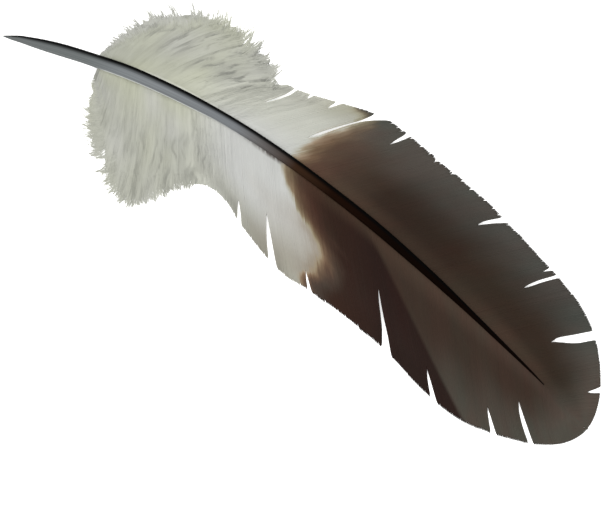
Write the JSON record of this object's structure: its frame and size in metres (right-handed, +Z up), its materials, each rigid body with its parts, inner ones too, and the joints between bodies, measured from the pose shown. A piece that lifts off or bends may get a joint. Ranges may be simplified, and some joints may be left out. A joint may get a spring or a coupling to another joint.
{
  "type": "eagle feather",
  "caption": "Eagle tail feather lying outer face up: pointed bare quill, downy white base, white vane turning dark brown, split edges.",
  "frame": {"origin": "on the table under the middle of the feather's box", "axes": "+X from the quill's point to the vane's tip, +Y towards the wide vane, +Z up from the table"},
  "size_m": [0.3318, 0.099, 0.0133],
  "materials": {
    "vane": "dull barbs, dark brown past the white base",
    "down": "loose white down",
    "shaft": "smooth grey horn, near black in the vane"
  },
  "bodies": {
    "root": {"feather": "vane"}
  },
  "joints": []
}
